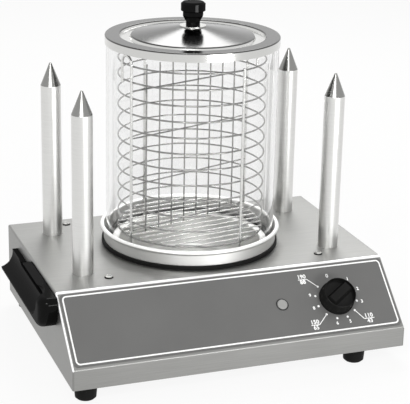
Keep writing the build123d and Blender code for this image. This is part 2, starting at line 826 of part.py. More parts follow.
with BuildPart() as handle_screws:
    for y, z in handle_screw_spots:
        inner_wall = Plane(origin=(-inner_w / 2, y, z), z_dir=(1, 0, 0))
        with Locations(inner_wall.location):
            add(pan_screw(handle_screw_r, sheet_t + handle_screw_l, handle_screw_head))
save(handle_screws.part, "handle_screws")

# Heating element clamped under the well by a bar and a nut on the welded stud
element_z = well_floor_z - pan_t - element_t
with BuildPart() as heating_element:
    with BuildSketch(Plane.XY.offset(element_z)):
        with Locations(well_axis):
            Circle(element_r)
            Circle(clamp_stud_r + screw_clear, mode=Mode.SUBTRACT)
    extrude(amount=element_t)
    chamfer(heating_element.edges().filter_by(GeomType.CIRCLE).group_by(SortBy.RADIUS)[-1], element_chamfer)
    with BuildSketch(Plane.XY.offset(element_z)):
        with Locations((0, well_y - element_tab_forward)):
            with GridLocations(element_tab_pitch, 1, 2, 1):
                Rectangle(terminal_w, terminal_t)
    extrude(amount=-element_tab_l)
save(heating_element.part, "heating_element")

with BuildPart() as element_clamp:
    with BuildSketch(Plane.XY.offset(element_z)):
        with Locations(well_axis):
            SlotOverall(clamp_l, clamp_w)
            Circle(clamp_stud_r + screw_clear, mode=Mode.SUBTRACT)
    extrude(amount=-clamp_t)
save(element_clamp.part, "element_clamp")

with BuildPart() as clamp_nut:
    with Locations((0, well_y, element_z - clamp_t - clamp_nut_h)):
        add(hex_nut(clamp_nut_af, clamp_nut_h, clamp_stud_r + thread_clear))
save(clamp_nut.part, "clamp_nut")

with BuildPart() as safety_cutout:
    with Locations((0, well_y + cutout_back, well_floor_z - pan_t)):
        Cylinder(cutout_r, cutout_h, align=(Align.CENTER, Align.CENTER, Align.MAX))
        with Locations((0, 0, -cutout_h)):
            with GridLocations(cutout_r, 1, 2, 1):
                Box(terminal_t, terminal_w, terminal_l, align=(Align.CENTER, Align.CENTER, Align.MAX))
save(safety_cutout.part, "safety_cutout")

# Thermostat bulb under the well and its capillary, led out in front of the heat shield
bulb_z = well_floor_z - pan_t - weld_gap - bulb_r
bulb_y = well_y - bulb_forward
capillary_end = dial_plane.from_local_coords((-thermostat_w / 2, 0, thermostat_z - thermostat_d / 2))
capillary_x = capillary_end.X - capillary_beside
with BuildPart() as thermostat_bulb:
    with BuildSketch(Plane(origin=(-bulb_l / 2, bulb_y, bulb_z), z_dir=(1, 0, 0))):
        Circle(bulb_r)
    extrude(amount=bulb_l)
    with BuildLine() as capillary_path:
        FilletPolyline(
            (bulb_l / 2, bulb_y, bulb_z),
            (capillary_x, bulb_y, bulb_z),
            (capillary_x, capillary_end.Y, capillary_end.Z),
            capillary_end,
            radius=capillary_bend_r,
        )
    with BuildSketch(Plane(origin=(bulb_l / 2, bulb_y, bulb_z), z_dir=(1, 0, 0))):
        Circle(capillary_r)
    sweep(path=capillary_path.line)
save(thermostat_bulb.part, "thermostat_bulb")

# Heat shield: a channel hung under the deck by the four deck screws
shield_top_z = under_deck_z - shield_t / 2
with BuildPart() as heat_shield:
    with BuildSketch(Plane.XZ.offset(-well_y)):
        with BuildLine():
            shield_line = FilletPolyline(
                (-shield_half_w - shield_flange, shield_top_z),
                (-shield_half_w, shield_top_z),
                (-shield_half_w, shield_top_z - shield_drop),
                (shield_half_w, shield_top_z - shield_drop),
                (shield_half_w, shield_top_z),
                (shield_half_w + shield_flange, shield_top_z),
                radius=2 * shield_t,
            )
        trace(shield_line, line_width=shield_t)
    extrude(amount=shield_half_l, both=True)
    with BuildSketch(Plane.XY.offset(under_deck_z)):
        with Locations(*deck_screw_spots):
            Circle(deck_screw_r + screw_clear)
    extrude(amount=-2 * shield_t, mode=Mode.SUBTRACT)
save(heat_shield.part, "heat_shield")

with BuildPart() as deck_screws:
    with Locations(*[(x, y, deck_z) for x, y in deck_screw_spots]):
        add(pan_screw(deck_screw_r, sheet_t + shield_t + deck_nut_h, deck_screw_head))
save(deck_screws.part, "deck_screws")

with BuildPart() as deck_nuts:
    with Locations(*[(x, y, under_deck_z - shield_t - deck_nut_h) for x, y in deck_screw_spots]):
        add(hex_nut(deck_nut_af, deck_nut_h, deck_screw_r + thread_clear))
save(deck_nuts.part, "deck_nuts")

# Cord gland through the back wall, and its nut inside
gland_plane = Plane(origin=(gland_x, rear_y, base_z + gland_up), x_dir=(-1, 0, 0), z_dir=(0, 1, 0))
with BuildPart() as cord_gland:
    with BuildSketch(gland_plane):
        RegularPolygon(gland_head_r, 6, major_radius=False)
    extrude(amount=gland_hex_l)
    with BuildSketch(gland_plane.offset(gland_hex_l)):
        Circle(gland_head_r)
    extrude(amount=gland_out - gland_hex_l, taper=gland_taper)
    with BuildSketch(gland_plane):
        Circle(gland_thread_r)
    extrude(amount=-gland_inside)
    with BuildSketch(gland_plane.offset(gland_out)):
        Circle(gland_bore_r)
    extrude(amount=-gland_out - gland_inside, mode=Mode.SUBTRACT)
save(cord_gland.part, "cord_gland")

with BuildPart() as gland_nut:
    with BuildSketch(gland_plane.offset(-sheet_t)):
        RegularPolygon(gland_nut_af / 2, 6, major_radius=False)
        Circle(gland_thread_r + thread_clear, mode=Mode.SUBTRACT)
    extrude(amount=-gland_nut_h)
save(gland_nut.part, "gland_nut")

# Terminal block on the base plate, with a screw well and a wire mouth for each pole
block_x = gland_x
block_y = rear_y - block_forward
with BuildPart() as terminal_block:
    with Locations((block_x, block_y, plate_top_z)):
        Box(block_w, block_d, block_h, align=(Align.CENTER, Align.CENTER, Align.MIN))
    with Locations((block_x, block_y, plate_top_z + block_h)):
        with GridLocations(block_w / block_poles, 1, block_poles, 1):
            Hole(block_screw_r, block_h / 2)
    with BuildSketch(Plane.XZ.offset(-(block_y + block_d / 2))):
        with Locations((block_x, plate_top_z + block_wire_up)):
            with GridLocations(block_w / block_poles, 1, block_poles, 1):
                Circle(block_wire_r)
    extrude(amount=block_wire_l, mode=Mode.SUBTRACT)
save(terminal_block.part, "terminal_block")
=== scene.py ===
# Hot dog steamer with bun spikes: the looks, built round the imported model
import math

import bmesh
import bpy
from mathutils import Matrix, Vector


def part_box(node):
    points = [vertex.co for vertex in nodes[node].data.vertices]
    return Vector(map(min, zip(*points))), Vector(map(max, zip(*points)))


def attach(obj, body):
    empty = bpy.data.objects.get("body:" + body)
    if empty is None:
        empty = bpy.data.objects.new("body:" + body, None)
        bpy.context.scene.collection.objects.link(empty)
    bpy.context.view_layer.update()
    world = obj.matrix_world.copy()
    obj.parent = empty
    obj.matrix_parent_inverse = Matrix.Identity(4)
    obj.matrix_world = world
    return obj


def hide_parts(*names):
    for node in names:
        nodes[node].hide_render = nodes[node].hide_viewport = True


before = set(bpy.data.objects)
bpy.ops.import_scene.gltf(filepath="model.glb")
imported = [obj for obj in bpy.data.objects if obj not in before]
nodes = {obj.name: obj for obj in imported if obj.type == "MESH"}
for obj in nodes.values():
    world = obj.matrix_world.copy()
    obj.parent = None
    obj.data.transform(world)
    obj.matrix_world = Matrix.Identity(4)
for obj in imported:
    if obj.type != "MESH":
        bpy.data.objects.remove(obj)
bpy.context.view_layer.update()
mm = 0.001
print("frame loaded:", len(nodes), "nodes")


def toLinear(hexColour):
    # sRGB hex to the linear values that a shader takes
    values = [int(hexColour[i:i + 2], 16) / 255 for i in (1, 3, 5)]
    return [v / 12.92 if v <= 0.04045 else ((v + 0.055) / 1.055) ** 2.4 for v in values] + [1.0]


def addNode(tree, kind, settings=None, links=None):
    # One node: settings are its properties or the values of its inputs, links name an output for an input
    node = tree.nodes.new(kind)
    for key, value in (settings or {}).items():
        if isinstance(key, str) and hasattr(node, key) and key not in node.inputs:
            setattr(node, key, value)
        else:
            node.inputs[key].default_value = value
    for key, output in (links or {}).items():
        tree.links.new(output, node.inputs[key])
    return node


def feed(tree, node, terms):
    # Fills a node's inputs in order, each with a value or with another node's output
    for socket, term in zip(node.inputs, terms):
        if isinstance(term, bpy.types.NodeSocket):
            tree.links.new(term, socket)
        else:
            socket.default_value = term
    return node


def compute(tree, operation, *terms):
    # A sum on numbers
    return feed(tree, addNode(tree, "ShaderNodeMath", {"operation": operation}), terms).outputs[0]


def computeVector(tree, operation, *terms):
    # A sum on vectors; a length or a distance comes out as a number
    node = feed(tree, addNode(tree, "ShaderNodeVectorMath", {"operation": operation}), terms)
    return node.outputs["Value" if operation in ("LENGTH", "DISTANCE") else "Vector"]


def spread(tree, field, low, high):
    # Maps a 0 to 1 field onto a range
    return addNode(tree, "ShaderNodeMapRange", {"To Min": low, "To Max": high}, {"Value": field}).outputs[0]


def softStep(tree, field, first, last):
    # 0 up to the first value, 1 from the last one on; the other way round when they are swapped
    limits = {"From Min": first, "From Max": last}
    return addNode(tree, "ShaderNodeMapRange", limits, {"Value": field}).outputs[0]


def farFrom(tree, place, point, along):
    # Distance from the line through a point, along a unit vector
    moved = computeVector(tree, "SUBTRACT", place, point)
    return computeVector(tree, "LENGTH", computeVector(tree, "CROSS_PRODUCT", moved, along))


def heightOf(tree, place):
    return addNode(tree, "ShaderNodeSeparateXYZ", links={0: place}).outputs["Z"]


def noiseField(tree, place, scale, detail, stretch=(1, 1, 1)):
    # Noise whose grain is given per metre, stretched along an axis for brushing
    mapping = addNode(tree, "ShaderNodeMapping", {"Scale": stretch}, {"Vector": place})
    settings = {"Scale": scale, "Detail": detail, "Roughness": 0.55}
    return addNode(tree, "ShaderNodeTexNoise", settings, {"Vector": mapping.outputs[0]}).outputs[0]


def blendColour(tree, factor, first, second):
    # The first colour where the factor is 0, the second where it is 1; each is a hex colour or an output
    socketA, socketB, socketResult = 6, 7, 2
    mix = addNode(tree, "ShaderNodeMix", {"data_type": "RGBA"}, {"Factor": factor})
    for socket, colour in ((socketA, first), (socketB, second)):
        if isinstance(colour, str):
            mix.inputs[socket].default_value = toLinear(colour)
        else:
            tree.links.new(colour, mix.inputs[socket])
    return mix.outputs[socketResult]


def newMaterial(name):
    material = bpy.data.materials.new(name)
    material.use_nodes = True
    tree = material.node_tree
    tree.nodes.clear()
    shader = addNode(tree, "ShaderNodeBsdfPrincipled")
    addNode(tree, "ShaderNodeOutputMaterial", links={"Surface": shader.outputs[0]})
    place = addNode(tree, "ShaderNodeTexCoord").outputs["Object"]
    return material, tree, shader, place


def setShader(shader, **values):
    for key, value in values.items():
        shader.inputs[key.replace("_", " ")].default_value = value


def addColour(tree, shader, factor, colours):
    tree.links.new(blendColour(tree, factor, *colours), shader.inputs["Base Color"])


def addRoughness(tree, shader, field, middle, below, above):
    # Roughness that the field carries from below the middle value to above it
    tree.links.new(spread(tree, field, middle - below, middle + above), shader.inputs["Roughness"])


def addBump(tree, shader, field, height, strength):
    bump = addNode(tree, "ShaderNodeBump", {"Strength": strength, "Distance": height}, {"Height": field})
    tree.links.new(bump.outputs[0], shader.inputs["Normal"])


# Brushed 18/10 stainless sheet: a fine straight grain that spreads reflections across it
def makeBrushedSheet(name, grain, colours, roughness, foldHighlights=()):
    # The folds get a painted highlight that blends the sheet towards white: a point, a direction and half the
    # width of each
    material, tree, shader, place = newMaterial(name)
    lines = noiseField(tree, place, scale=900, detail=2, stretch=grain)
    clouds = noiseField(tree, place, scale=9, detail=3)
    sheet = blendColour(tree, lines, *colours)
    fullHighlightShare = 0.7
    for point, along, half in foldHighlights:
        paintedHighlight = softStep(tree, farFrom(tree, place, point, along), half, half * fullHighlightShare)
        sheet = blendColour(tree, paintedHighlight, sheet, "#FFFFFF")
    tree.links.new(sheet, shader.inputs["Base Color"])
    addRoughness(tree, shader, clouds, roughness, below=0.08, above=0.08)
    setShader(shader, Metallic=1.0)
    addBump(tree, shader, lines, height=0.02 * mm, strength=0.35)
    return material


# Spun and circular-brushed stainless: grain in rings round an upright axis
def makeSpunSteel(name, centre, colours, roughness, rings, anisotropic, highlightBand):
    # band is a painted highlight, a lighter colour on a turned-down edge or a rolled rim: its lowest and
    # highest place, its colour
    material, tree, shader, place = newMaterial(name)
    flat = computeVector(tree, "MULTIPLY", computeVector(tree, "SUBTRACT", place, centre), (1, 1, 0))
    around = computeVector(tree, "CROSS_PRODUCT", (0, 0, 1), flat)
    reach = addNode(tree, "ShaderNodeCombineXYZ", links={"X": computeVector(tree, "LENGTH", flat)})
    settings = {"Scale": rings, "Detail": 2.0}
    grain = addNode(tree, "ShaderNodeTexNoise", settings, {"Vector": reach.outputs[0]}).outputs[0]
    low, high, bandHighlight = highlightBand
    fade = 0.4 * mm
    height = heightOf(tree, place)
    above = softStep(tree, height, low - fade, low)
    below = softStep(tree, height, high + fade, high)
    sheet = blendColour(tree, grain, *colours)
    addColour(tree, shader, compute(tree, "MULTIPLY", above, below), (sheet, bandHighlight))
    addRoughness(tree, shader, grain, roughness, below=0.05, above=0.05)
    tree.links.new(computeVector(tree, "NORMALIZE", around), shader.inputs["Tangent"])
    setShader(shader, Metallic=1.0, Anisotropic=anisotropic)
    addBump(tree, shader, grain, height=0.01 * mm, strength=0.3)
    return material


# Turned aluminium: faint rings round the spike, left by the lathe tool
def makeTurnedAluminium(name, colours, coneShadeColour, roughness, coneStart):
    # From coneStart up the metal is polished, with sharper reflections, and its colour is darker: painted
    # shade
    material, tree, shader, place = newMaterial(name)
    rings = noiseField(tree, place, scale=1400, detail=2, stretch=(0.02, 0.02, 1))
    wear = noiseField(tree, place, scale=45, detail=4)
    fade = 0.2 * mm
    cone = softStep(tree, heightOf(tree, place), coneStart - fade, coneStart + fade)
    addColour(tree, shader, cone, (blendColour(tree, rings, *colours), coneShadeColour))
    swing, coneShare = 0.06, 0.6
    satin = spread(tree, wear, roughness - swing, roughness + swing)
    smoother = spread(tree, cone, 1.0, coneShare)
    tree.links.new(compute(tree, "MULTIPLY", satin, smoother), shader.inputs["Roughness"])
    setShader(shader, Metallic=1.0)
    addBump(tree, shader, rings, height=0.01 * mm, strength=0.25)
    return material


# Plated or drawn metal, as on wire and screws: smooth, with slight waves in the surface
def makePlatedMetal(name, colours, roughness):
    material, tree, shader, place = newMaterial(name)
    waves = noiseField(tree, place, scale=260, detail=2)
    addColour(tree, shader, waves, colours)
    addRoughness(tree, shader, waves, roughness, below=roughness * 0.3, above=roughness * 0.3)
    setShader(shader, Metallic=1.0)
    return material


# Satin enamel on an aluminium plate: a very fine orange peel under a soft gloss
def makeEnamel(name, colours, roughness):
    material, tree, shader, place = newMaterial(name)
    peel = noiseField(tree, place, scale=2200, detail=2)
    clouds = noiseField(tree, place, scale=14, detail=2)
    addColour(tree, shader, clouds, colours)
    addRoughness(tree, shader, clouds, roughness, below=0.04, above=0.04)
    setShader(shader, Metallic=0.0, Specular_IOR_Level=0.5, IOR=1.5)
    addBump(tree, shader, peel, height=0.01 * mm, strength=0.2)
    return material


# Phenolic moulding: near black, glossy, with a faint flow of the powder in it
def makePhenolic(name, colours, roughness):
    # All its gloss is in a thin coat, so that it stays black at grazing angles
    material, tree, shader, place = newMaterial(name)
    flow = noiseField(tree, place, scale=60, detail=4)
    specks = noiseField(tree, place, scale=1500, detail=2)
    addColour(tree, shader, flow, colours)
    addRoughness(tree, shader, flow, roughness, below=0.05, above=0.07)
    setShader(shader, IOR=1.6, Specular_IOR_Level=0.0, Coat_Weight=0.12, Coat_Roughness=0.1, Coat_IOR=1.6)
    addBump(tree, shader, specks, height=0.02 * mm, strength=0.15)
    return material


# Moulded rubber: matt and a little dusty
def makeRubber(name, colours, roughness):
    material, tree, shader, place = newMaterial(name)
    dust = noiseField(tree, place, scale=120, detail=4)
    grain = noiseField(tree, place, scale=2600, detail=2)
    addColour(tree, shader, dust, colours)
    setShader(shader, Roughness=roughness, IOR=1.52, Specular_IOR_Level=0.12)
    addBump(tree, shader, grain, height=0.03 * mm, strength=0.3)
    return material


# Drawn soda-lime glass tube: clear, faintly uneven along its height
def makeGlass(name, tint):
    material, tree, shader, place = newMaterial(name)
    drawn = noiseField(tree, place, scale=14, detail=1, stretch=(1, 1, 0.15))
    setShader(shader, Base_Color=toLinear(tint), Roughness=0.0, IOR=1.47, Transmission_Weight=1.0)
    addBump(tree, shader, drawn, height=0.4 * mm, strength=0.08)
    return material


# Moulded plastic for the lens and for the fittings inside and at the back
def makePlastic(name, colours, roughness):
    material, tree, shader, place = newMaterial(name)
    grain = noiseField(tree, place, scale=1800, detail=2)
    clouds = noiseField(tree, place, scale=30, detail=3)
    addColour(tree, shader, clouds, colours)
    setShader(shader, Roughness=roughness, IOR=1.5)
    addBump(tree, shader, grain, height=0.03 * mm, strength=0.3)
    return material


# Screen-printed white ink
def makeInk(name, colours, roughness):
    material, tree, shader, place = newMaterial(name)
    addColour(tree, shader, noiseField(tree, place, scale=900, detail=3), colours)
    setShader(shader, Roughness=roughness, IOR=1.5)
    return material


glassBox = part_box("glass_cylinder")
wellX = (glassBox[0].x + glassBox[1].x) / 2
wellY = (glassBox[0].y + glassBox[1].y) / 2
wellCentre = (wellX, wellY, 0)
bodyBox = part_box("body_shell")
deckTop = bodyBox[1].z
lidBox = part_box("lid")
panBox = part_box("water_pan")
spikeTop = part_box("spike_front_left")[1].z

# The sloped front: how far it reaches back and up, and half the width of the painted highlight line at its
# top fold and along its two ends
front = {"back": 69 * mm, "rise": 61.5 * mm, "foldHalf": 2.3 * mm, "endHalf": 1.9 * mm}
slope = math.atan2(front["rise"], front["back"])
panelUp = Vector((0, math.cos(slope), math.sin(slope)))
panelOut = Vector((0, -math.sin(slope), math.cos(slope)))
foldY = bodyBox[0].y + front["back"]
foldHighlights = [((0, foldY, deckTop), (1, 0, 0), front["foldHalf"])]
foldHighlights += [((corner.x, foldY, deckTop), panelUp, front["endHalf"]) for corner in bodyBox]

# Heights of the painted bands: painted highlight on the lid's turned-down edge and on the pan's rolled rim,
# painted shade on the spikes' cones, which are also polished
paintedBands = {"lidSkirt": 8.4 * mm, "panRim": 2.2 * mm, "cone": 26.5 * mm}
lidSkirt = (lidBox[0].z, lidBox[0].z + paintedBands["lidSkirt"], "#D2D2D0")
panRim = (panBox[1].z - paintedBands["panRim"], panBox[1].z, "#F2F2F0")
coneStart = spikeTop - paintedBands["cone"]
grainAlongX = (0.02, 1, 1)

finishes = {
    "deckSteel": makeBrushedSheet("brushed_stainless", grainAlongX, ("#868684", "#989896"), 0.42, foldHighlights),
    "baseSteel": makeBrushedSheet("mill_stainless", grainAlongX, ("#8C8C8A", "#9A9A98"), 0.45),
    "lidSteel": makeSpunSteel("spun_stainless", wellCentre, ("#454544", "#565655"), 0.15,
                              rings=2600, anisotropic=0.35, highlightBand=lidSkirt),
    "panSteel": makeSpunSteel("pressed_stainless", wellCentre, ("#D8D8D6", "#E6E6E4"), 0.46,
                              rings=1500, anisotropic=0.1, highlightBand=panRim),
    "aluminium": makeTurnedAluminium("turned_aluminium", ("#D2D2D0", "#E2E2E0"), "#8E8E8C", 0.32, coneStart),
    "wire": makePlatedMetal("plated_wire", ("#8A8A88", "#A6A6A4"), 0.12),
    # A lighter copy of the plated wire, for the uprights and the floor slats: a painted highlight
    "highlightWire": makePlatedMetal("plated_wire_painted_highlight", ("#DCDCDA", "#ECECEA"), 0.12),
    "zinc": makePlatedMetal("zinc_plated_steel", ("#CACAC8", "#DADAD6"), 0.2),
    "enamel": makeEnamel("satin_enamel", ("#5E5E5D", "#686867"), 0.38),
    "phenolic": makePhenolic("phenolic_black", ("#060606", "#0C0C0C"), 0.16),
    # A lighter, rougher copy of the phenolic for the dial knob
    "knobPhenolic": makePhenolic("phenolic_dark_grey", ("#161616", "#222221"), 0.3),
    "rubber": makeRubber("moulded_rubber", ("#0A0A0A", "#141413"), 0.62),
    "glass": makeGlass("soda_lime_glass", "#F9F9F9"),
    "darkPlastic": makePlastic("nylon_black", ("#141414", "#1C1C1C"), 0.55),
    "palePlastic": makePlastic("urea_cream", ("#C9C4B4", "#D2CDBE"), 0.5),
    "heater": makePlatedMetal("oxidised_steel", ("#6A6660", "#7C7870"), 0.45),
    "copper": makePlatedMetal("drawn_copper", ("#A5674A", "#B87854"), 0.35),
    "ink": makeInk("printed_ink", ("#F6F6F4", "#FFFFFF"), 0.5),
    "weld": makePlatedMetal("plated_weld", ("#6E6E6C", "#868684"), 0.3),
    "lens": makePlastic("neon_lens", ("#929290", "#9E9E9C"), 0.28),
}
print("materials made:", len(finishes))


def fourOf(name):
    return [name + corner for corner in ("_front_left", "_rear_left", "_front_right", "_rear_right")]


finishOf = {
    "deckSteel": ["body_shell"],
    "baseSteel": ["base_plate", "heat_shield"],
    "lidSteel": ["lid"],
    "panSteel": ["water_pan"],
    "aluminium": fourOf("spike"),
    "highlightWire": ["basket_uprights"],
    "wire": ["basket_rings", "basket_floor", "basket_divider"],
    "zinc": ["base_screws", "foot_screws", "foot_nuts", "knob_washer", "knob_screw", "spike_washers",
             "spike_nuts", "thermostat_nut", "dial_spindle", "handle_screws", "clamp_nut", "deck_screws",
             "deck_nuts"],
    "enamel": ["control_panel"],
    "phenolic": ["handle_left", "lid_knob"],
    "knobPhenolic": ["dial_knob"],
    "rubber": fourOf("foot") + ["well_gasket", "glass_seat"],
    "glass": ["glass_cylinder"],
    "darkPlastic": ["cord_gland", "gland_nut"],
    "palePlastic": ["thermostat", "safety_cutout", "terminal_block", "pilot_lamp"],
    "heater": fourOf("cartridge_heater") + ["heating_element", "element_clamp"],
    "copper": ["thermostat_bulb"],
    "lens": ["pilot_lens"],
}
for finish, names in finishOf.items():
    for name in names:
        slots = nodes[name].data.materials
        slots.clear()
        slots.append(finishes[finish])
# Clear glass lets the light in to the basket
nodes["glass_cylinder"].visible_shadow = False


def addPiece(name, mesh, finish):
    # A finished mesh, already in its place, becomes an object with one finish
    piece = bpy.data.objects.new(name, mesh)
    bpy.context.scene.collection.objects.link(piece)
    mesh.materials.clear()
    mesh.materials.append(finishes[finish])
    return piece


def meshOf(holder):
    # The mesh that an object shows once its modifiers, curve or text are worked out
    return bpy.data.meshes.new_from_object(holder.evaluated_get(bpy.context.evaluated_depsgraph_get()))


def joinMeshes(name, meshes, finish):
    together = bmesh.new()
    for mesh in meshes:
        together.from_mesh(mesh)
    joined = bpy.data.meshes.new(name)
    together.to_mesh(joined)
    together.free()
    return addPiece(name, joined, finish)


def geometryTree(name, sockets):
    # A Geometry Nodes tree whose sizes are named inputs
    tree = bpy.data.node_groups.new(name, "GeometryNodeTree")
    kinds = {float: "NodeSocketFloat", int: "NodeSocketInt", tuple: "NodeSocketVector"}
    for key, value in sockets.items():
        socket = tree.interface.new_socket(name=key, in_out="INPUT", socket_type=kinds[type(value)])
        socket.default_value = value
    tree.interface.new_socket(name="Finish", in_out="INPUT", socket_type="NodeSocketMaterial")
    tree.interface.new_socket(name="Geometry", in_out="OUTPUT", socket_type="NodeSocketGeometry")
    return tree, tree.nodes.new("NodeGroupInput").outputs


def closeTree(tree, given, geometry):
    # Every tree ends in real geometry, shaded smooth, with its finish on it
    real = addNode(tree, "GeometryNodeRealizeInstances", links={0: geometry})
    smooth = addNode(tree, "GeometryNodeSetShadeSmooth", links={"Geometry": real.outputs[0]})
    coated = addNode(tree, "GeometryNodeSetMaterial",
                     links={"Geometry": smooth.outputs[0], "Material": given["Finish"]})
    addNode(tree, "NodeGroupOutput", links={0: coated.outputs[0]})


def growPiece(name, tree, finish, parts):
    # Runs a tree once for each set of sizes and keeps the results as one plain mesh
    meshes = []
    for sizes in parts:
        seed = bpy.data.objects.new(name + "_seed", bpy.data.meshes.new(name + "_seed"))
        bpy.context.scene.collection.objects.link(seed)
        modifier = seed.modifiers.new("grow", "NODES")
        modifier.node_group = tree
        for item in tree.interface.items_tree:
            if item.name == "Finish":
                modifier[item.identifier] = finishes[finish]
            elif item.in_out == "INPUT":
                modifier[item.identifier] = sizes.get(item.name, item.default_value)
        bpy.context.view_layer.update()
        meshes.append(meshOf(seed))
        bpy.data.objects.remove(seed)
    return joinMeshes(name, meshes, finish)


def wireNode(tree, path, radius):
    # Round wire along a path, as one node that other nodes repeat
    wireSides = 10
    profile = addNode(tree, "GeometryNodeCurvePrimitiveCircle", {"Resolution": wireSides}, {"Radius": radius})
    return addNode(tree, "GeometryNodeCurveToMesh", {"Fill Caps": True},
                   {"Curve": path, "Profile Curve": profile.outputs[0]}).outputs[0]


def upLine(tree, given, count):
    # Points one pitch apart, up from the start
    step = addNode(tree, "ShaderNodeCombineXYZ", links={"Z": given["Pitch"]})
    return addNode(tree, "GeometryNodeMeshLine", links={
        "Count": count, "Start Location": given["Start"], "Offset": step.outputs[0]}).outputs[0]


def makeRingTree():
    # Wire rings stacked up an axis
    tree, given = geometryTree("stackedRings", {
        "Radius": 0.1, "Wire": 0.001, "Count": 4, "Pitch": 0.01, "Start": (0.0, 0.0, 0.0)})
    ringSteps = 112
    circle = addNode(tree, "GeometryNodeCurvePrimitiveCircle", {"Resolution": ringSteps},
                     {"Radius": given["Radius"]})
    rings = addNode(tree, "GeometryNodeInstanceOnPoints", links={
        "Points": upLine(tree, given, given["Count"]),
        "Instance": wireNode(tree, circle.outputs[0], given["Wire"])})
    closeTree(tree, given, rings.outputs[0])
    return tree


def makeRowTree():
    # A row of straight wires. Reach is half of a wire's length with Follow 0. With Follow 1 it is the radius
    # of a circle that each wire is a chord of
    tree, given = geometryTree("wireRow", {
        "Reach": 0.1, "Wire": 0.001, "Count": 4, "Middle": (0.0, 0.0, 0.0), "Step": (0.0, 0.01, 0.0),
        "Turn": (0.0, 0.0, 0.0), "Follow": 0.0})
    stepsBack = compute(tree, "MULTIPLY_ADD", given["Count"], 0.5, -0.5)
    back = computeVector(tree, "MULTIPLY", given["Step"], stepsBack)
    first = computeVector(tree, "SUBTRACT", given["Middle"], back)
    line = addNode(tree, "GeometryNodeMeshLine", links={
        "Count": given["Count"], "Start Location": first, "Offset": given["Step"]})
    place = addNode(tree, "GeometryNodeInputPosition").outputs[0]
    away = compute(tree, "MULTIPLY", computeVector(tree, "DISTANCE", place, given["Middle"]), given["Follow"])
    squares = [compute(tree, "POWER", side, 2.0) for side in (given["Reach"], away)]
    halfLength = compute(tree, "SQRT", compute(tree, "SUBTRACT", *squares))
    size = addNode(tree, "ShaderNodeCombineXYZ", {"X": 1.0, "Y": 1.0}, {"Z": halfLength})
    straight = addNode(tree, "GeometryNodeCurvePrimitiveLine", {"Start": (0, 0, -1), "End": (0, 0, 1)})
    row = addNode(tree, "GeometryNodeInstanceOnPoints", links={
        "Points": line.outputs[0], "Instance": wireNode(tree, straight.outputs[0], given["Wire"]),
        "Rotation": given["Turn"], "Scale": size.outputs[0]})
    closeTree(tree, given, row.outputs[0])
    return tree


def makeWeldTree():
    # Small flattened beads where the rings cross the uprights
    tree, given = geometryTree("weldBeads", {
        "Radius": 0.1, "Bead": 0.001, "Levels": 4, "Pitch": 0.01, "Round": 4, "Start": (0.0, 0.0, 0.0),
        "Turn": (0.0, 0.0, 0.0)})
    circle = addNode(tree, "GeometryNodeMeshCircle",
                     links={"Vertices": given["Round"], "Radius": given["Radius"]})
    spots = addNode(tree, "GeometryNodeInstanceOnPoints", links={
        "Points": upLine(tree, given, given["Levels"]), "Instance": circle.outputs[0],
        "Rotation": given["Turn"]})
    real = addNode(tree, "GeometryNodeRealizeInstances", links={0: spots.outputs[0]})
    bead = addNode(tree, "GeometryNodeMeshIcoSphere", {"Subdivisions": 2}, {"Radius": given["Bead"]})
    flattened = (1.0, 1.0, 0.8)
    beads = addNode(tree, "GeometryNodeInstanceOnPoints", {"Scale": flattened},
                    {"Points": real.outputs[0], "Instance": bead.outputs[0]})
    closeTree(tree, given, beads.outputs[0])
    return tree


# Wire basket: the same rings, floor and divider as the frame's, in round drawn wire with its welds
basket = {
    "ringRadius": 85 * mm, "ringWire": 1.0 * mm, "rings": 12, "pitch": 18.3 * mm,
    "floorWire": 0.9 * mm, "floorPitch": 13 * mm, "floorTurn": math.radians(10), "floorRows": 13,
    "dividerWire": 0.9 * mm, "dividerPitch": 19 * mm, "dividerWires": 8, "dividerTurn": math.radians(21),
    "bars": 4, "barEvery": 3, "barAside": 1.62 * mm,
    "bead": 1.7 * mm, "beadRadius": 86.9 * mm, "uprights": 4,
}
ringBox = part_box("basket_rings")
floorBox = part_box("basket_floor")
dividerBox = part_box("basket_divider")
# Middle of the lowest ring: the frame's wire is six-sided in section there, with a flat side down
ringLow = ringBox[0].z + basket["ringWire"] * math.cos(math.radians(30))
ringTree, rowTree, weldTree = makeRingTree(), makeRowTree(), makeWeldTree()
rings = growPiece("basketRings", ringTree, "wire", [{
    "Radius": basket["ringRadius"], "Wire": basket["ringWire"], "Count": basket["rings"],
    "Pitch": basket["pitch"], "Start": (wellX, wellY, ringLow)}])
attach(rings, "basket")
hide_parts("basket_rings")

across = Vector((-math.sin(basket["floorTurn"]), math.cos(basket["floorTurn"]), 0)) * basket["floorPitch"]
# The floor slats take the lighter copy of the plated wire, a painted highlight
slats = growPiece("basketFloor", rowTree, "highlightWire", [{
    "Reach": basket["ringRadius"], "Wire": basket["floorWire"], "Count": basket["floorRows"],
    "Middle": (wellX, wellY, (floorBox[0].z + floorBox[1].z) / 2), "Step": tuple(across),
    "Turn": (0.0, math.pi / 2, basket["floorTurn"]), "Follow": 1.0}])
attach(slats, "basket")
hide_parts("basket_floor")

